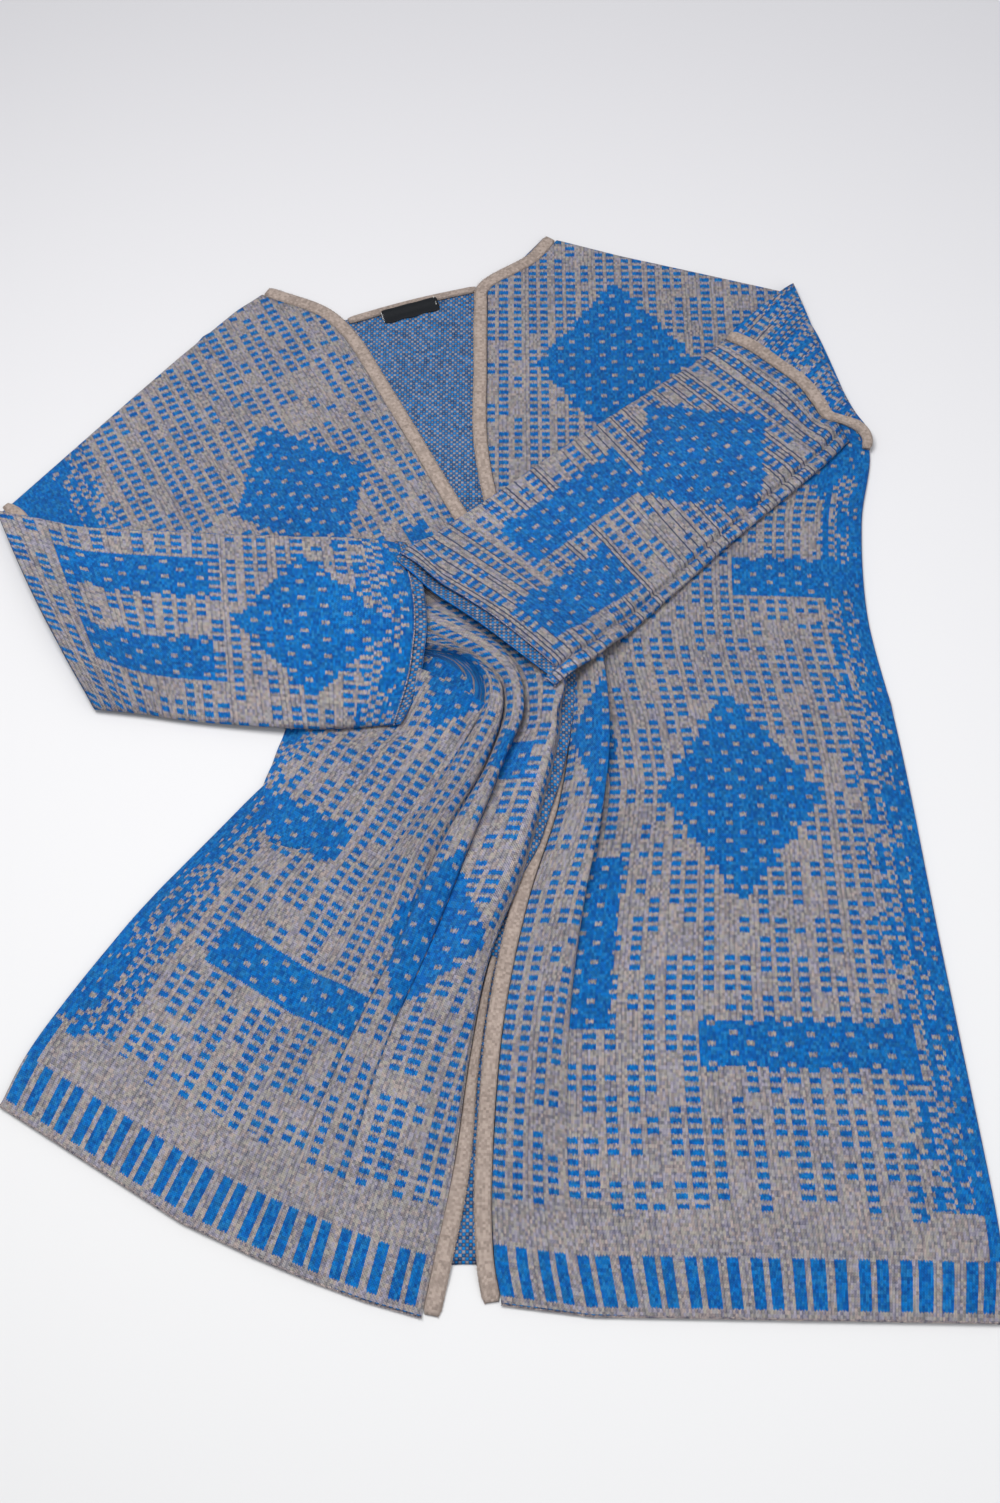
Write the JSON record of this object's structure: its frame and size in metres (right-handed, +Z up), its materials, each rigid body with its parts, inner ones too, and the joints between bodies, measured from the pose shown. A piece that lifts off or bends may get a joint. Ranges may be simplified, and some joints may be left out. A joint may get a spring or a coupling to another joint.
{
  "type": "kimono cardigan",
  "caption": "Open A-line knitted cardigan with dropped sleeves, laid on its back with both sleeves folded in over the fronts and the cloth gathered at the waist.",
  "frame": {"origin": "middle of the laid garment's bounding box, on the surface it lies on", "axes": "+Z up from the surface, +Y from the hem to the neck, +X to the viewer's right"},
  "size_m": [0.7668, 1.018, 0.0288],
  "materials": {
    "jacquard_outside": "two-colour jacquard knit, vivid blue and heathered taupe, right side",
    "jacquard_inside": "two-colour jacquard knit, birdseye wrong side",
    "plain_knit_band": "plain double knit band, warm taupe",
    "woven_label": "black woven satin label, bare"
  },
  "bodies": {
    "root": {"back_panel": "jacquard_inside", "front_left": "jacquard_outside", "front_right": "jacquard_outside", "shoulder_turnback_left": "jacquard_outside", "sleeve_left": "jacquard_outside", "sleeve_right": "jacquard_outside", "front_band_left": "plain_knit_band", "front_band_right_upper": "plain_knit_band", "front_band_right_lower": "plain_knit_band", "back_neck_band": "plain_knit_band", "armhole_band_left": "plain_knit_band", "armhole_band_right": "plain_knit_band", "neck_label": "woven_label"}
  },
  "joints": []
}
